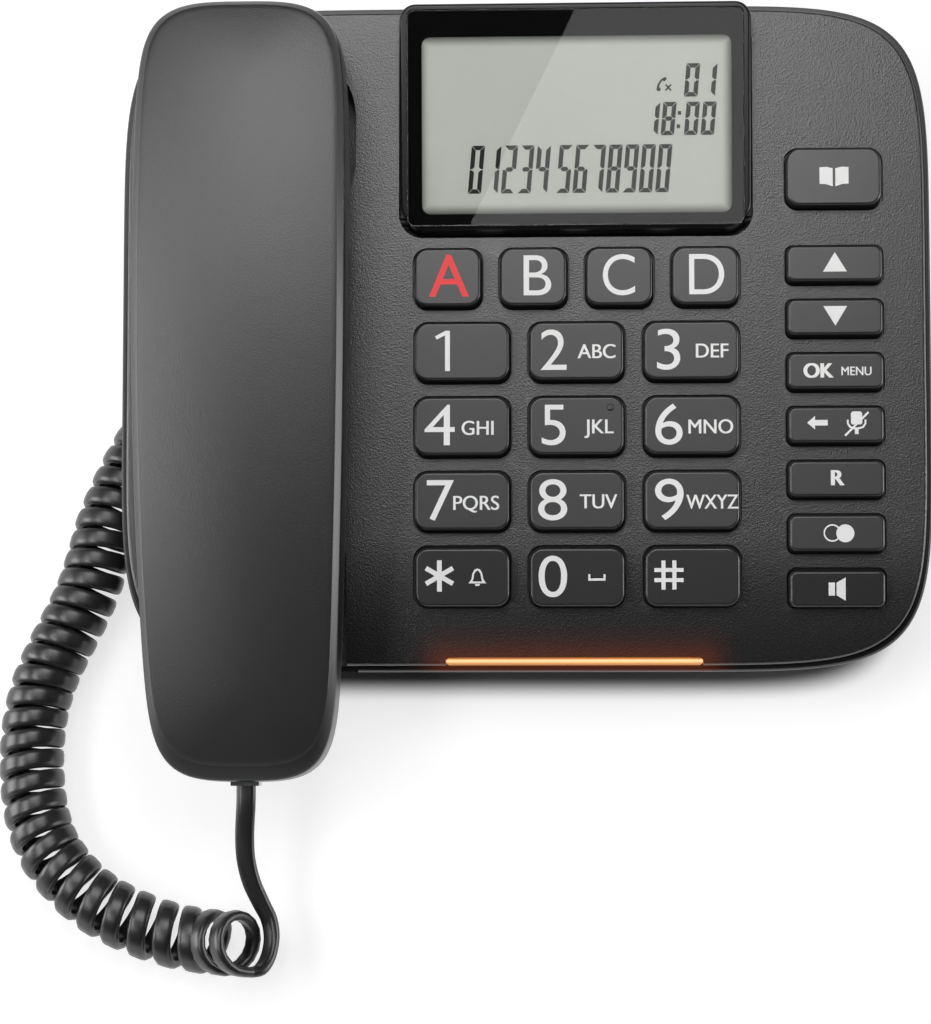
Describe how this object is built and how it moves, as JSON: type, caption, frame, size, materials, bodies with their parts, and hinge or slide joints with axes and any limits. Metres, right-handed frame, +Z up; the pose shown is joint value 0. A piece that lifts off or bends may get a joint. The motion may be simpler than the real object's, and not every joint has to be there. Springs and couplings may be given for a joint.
{
  "type": "corded desk telephone",
  "caption": "Corded desk telephone with large keys, direct-call keys, a tilting display, a handset resting on a hook switch and a curly handset cord.",
  "frame": {"origin": "centre of the box around the telephone, cord left out, on the table under the feet", "axes": "+X to the right as the user sees it, +Y to the rear, away from the user, +Z up"},
  "size_m": [0.2549, 0.2626, 0.0827],
  "materials": {
    "upper_case": "dark grey moulding with a fine leather grain",
    "lower_case": "dark grey moulding, smooth satin rim",
    "handset": "dark grey moulding with a fine leather grain",
    "keys": "charcoal moulding with a satin edge and printed figures",
    "display_frame": "glossy dark grey frame",
    "display_window": "clear window with a black printed border",
    "screen": "grey-green liquid crystal panel",
    "light_bar": "amber light guide",
    "feet": "matt black rubber",
    "screws": "plain steel",
    "steel_parts": "plain steel",
    "circuit_boards": "green circuit board",
    "membrane": "soft grey silicone",
    "sockets": "black socket moulding",
    "inner_parts": "plain dark moulding",
    "plugs": "clear plug moulding",
    "cord": "satin charcoal cord sheath"
  },
  "bodies": {
    "base": {"base_upper_shell": "upper_case", "base_lower_shell": "lower_case", "rubber_feet": "feet", "base_screws": "screws", "main_board": "circuit_boards", "keypad_membrane": "membrane", "loudspeaker": "inner_parts", "light_bar": "light_bar", "light_board": "circuit_boards", "hook_switch": "inner_parts", "base_cord_socket": "sockets", "line_socket": "sockets", "ballast_plate": "steel_parts", "display_hinge_pins": "steel_parts", "base_plug": "plugs", "cord_coil": "cord", "cord_handset_tail": "cord", "cord_base_tail": "cord"},
    "display": {"display_frame": "display_frame", "display_rear_cover": "display_frame", "display_window": "display_window", "screen_panel": "screen", "display_board": "circuit_boards"},
    "handset": {"handset_outer_cover": "handset", "handset_inner_cover": "handset", "receiver_capsule": "inner_parts", "microphone_capsule": "inner_parts", "handset_weight": "steel_parts", "handset_screws": "screws", "handset_cord_socket": "sockets", "handset_plug": "plugs"},
    "hook": {"hook_plunger": "inner_parts"},
    "key_a": {"key_a": "keys"},
    "key_b": {"key_b": "keys"},
    "key_c": {"key_c": "keys"},
    "key_d": {"key_d": "keys"},
    "key_1": {"key_1": "keys"},
    "key_2": {"key_2": "keys"},
    "key_3": {"key_3": "keys"},
    "key_4": {"key_4": "keys"},
    "key_5": {"key_5": "keys"},
    "key_6": {"key_6": "keys"},
    "key_7": {"key_7": "keys"},
    "key_8": {"key_8": "keys"},
    "key_9": {"key_9": "keys"},
    "key_star": {"key_star": "keys"},
    "key_0": {"key_0": "keys"},
    "key_hash": {"key_hash": "keys"},
    "key_book": {"key_book": "keys"},
    "key_up": {"key_up": "keys"},
    "key_down": {"key_down": "keys"},
    "key_ok": {"key_ok": "keys"},
    "key_back": {"key_back": "keys"},
    "key_recall": {"key_recall": "keys"},
    "key_redial": {"key_redial": "keys"},
    "key_speaker": {"key_speaker": "keys"}
  },
  "joints": [
    {"name": "display_tilt", "type": "hinge", "parent": "base", "child": "display", "pos_m": [0.014, 0.04584, 0.04532], "axis": [1, 0, 0], "range_deg": [0, 40]},
    {"name": "handset_lift", "type": "slide", "parent": "base", "child": "handset", "axis": [0, -0.1564, 0.9877], "range_m": [0, 0.06]},
    {"name": "hook_switch_rise", "type": "slide", "parent": "base", "child": "hook", "axis": [0, -0.1564, 0.9877], "range_m": [0, 0.0045]},
    {"name": "key_a_press", "type": "slide", "parent": "base", "child": "key_a", "axis": [0, 0.1564, -0.9877], "range_m": [0, 0.0014], "stiffness_N_per_m": 900},
    {"name": "key_b_press", "type": "slide", "parent": "base", "child": "key_b", "axis": [0, 0.1564, -0.9877], "range_m": [0, 0.0014], "stiffness_N_per_m": 900},
    {"name": "key_c_press", "type": "slide", "parent": "base", "child": "key_c", "axis": [0, 0.1564, -0.9877], "range_m": [0, 0.0014], "stiffness_N_per_m": 900},
    {"name": "key_d_press", "type": "slide", "parent": "base", "child": "key_d", "axis": [0, 0.1564, -0.9877], "range_m": [0, 0.0014], "stiffness_N_per_m": 900},
    {"name": "key_1_press", "type": "slide", "parent": "base", "child": "key_1", "axis": [0, 0.1564, -0.9877], "range_m": [0, 0.0014], "stiffness_N_per_m": 900},
    {"name": "key_2_press", "type": "slide", "parent": "base", "child": "key_2", "axis": [0, 0.1564, -0.9877], "range_m": [0, 0.0014], "stiffness_N_per_m": 900},
    {"name": "key_3_press", "type": "slide", "parent": "base", "child": "key_3", "axis": [0, 0.1564, -0.9877], "range_m": [0, 0.0014], "stiffness_N_per_m": 900},
    {"name": "key_4_press", "type": "slide", "parent": "base", "child": "key_4", "axis": [0, 0.1564, -0.9877], "range_m": [0, 0.0014], "stiffness_N_per_m": 900},
    {"name": "key_5_press", "type": "slide", "parent": "base", "child": "key_5", "axis": [0, 0.1564, -0.9877], "range_m": [0, 0.0014], "stiffness_N_per_m": 900},
    {"name": "key_6_press", "type": "slide", "parent": "base", "child": "key_6", "axis": [0, 0.1564, -0.9877], "range_m": [0, 0.0014], "stiffness_N_per_m": 900},
    {"name": "key_7_press", "type": "slide", "parent": "base", "child": "key_7", "axis": [0, 0.1564, -0.9877], "range_m": [0, 0.0014], "stiffness_N_per_m": 900},
    {"name": "key_8_press", "type": "slide", "parent": "base", "child": "key_8", "axis": [0, 0.1564, -0.9877], "range_m": [0, 0.0014], "stiffness_N_per_m": 900},
    {"name": "key_9_press", "type": "slide", "parent": "base", "child": "key_9", "axis": [0, 0.1564, -0.9877], "range_m": [0, 0.0014], "stiffness_N_per_m": 900},
    {"name": "key_star_press", "type": "slide", "parent": "base", "child": "key_star", "axis": [0, 0.1564, -0.9877], "range_m": [0, 0.0014], "stiffness_N_per_m": 900},
    {"name": "key_0_press", "type": "slide", "parent": "base", "child": "key_0", "axis": [0, 0.1564, -0.9877], "range_m": [0, 0.0014], "stiffness_N_per_m": 900},
    {"name": "key_hash_press", "type": "slide", "parent": "base", "child": "key_hash", "axis": [0, 0.1564, -0.9877], "range_m": [0, 0.0014], "stiffness_N_per_m": 900},
    {"name": "key_book_press", "type": "slide", "parent": "base", "child": "key_book", "axis": [0, 0.1564, -0.9877], "range_m": [0, 0.0014], "stiffness_N_per_m": 900},
    {"name": "key_up_press", "type": "slide", "parent": "base", "child": "key_up", "axis": [0, 0.1564, -0.9877], "range_m": [0, 0.0014], "stiffness_N_per_m": 900},
    {"name": "key_down_press", "type": "slide", "parent": "base", "child": "key_down", "axis": [0, 0.1564, -0.9877], "range_m": [0, 0.0014], "stiffness_N_per_m": 900},
    {"name": "key_ok_press", "type": "slide", "parent": "base", "child": "key_ok", "axis": [0, 0.1564, -0.9877], "range_m": [0, 0.0014], "stiffness_N_per_m": 900},
    {"name": "key_back_press", "type": "slide", "parent": "base", "child": "key_back", "axis": [0, 0.1564, -0.9877], "range_m": [0, 0.0014], "stiffness_N_per_m": 900},
    {"name": "key_recall_press", "type": "slide", "parent": "base", "child": "key_recall", "axis": [0, 0.1564, -0.9877], "range_m": [0, 0.0014], "stiffness_N_per_m": 900},
    {"name": "key_redial_press", "type": "slide", "parent": "base", "child": "key_redial", "axis": [0, 0.1564, -0.9877], "range_m": [0, 0.0014], "stiffness_N_per_m": 900},
    {"name": "key_speaker_press", "type": "slide", "parent": "base", "child": "key_speaker", "axis": [0, 0.1564, -0.9877], "range_m": [0, 0.0014], "stiffness_N_per_m": 900}
  ],
  "couplings": [
    {"joint": "hook_switch_rise", "follows": "handset_lift", "ratio": 0.075}
  ]
}
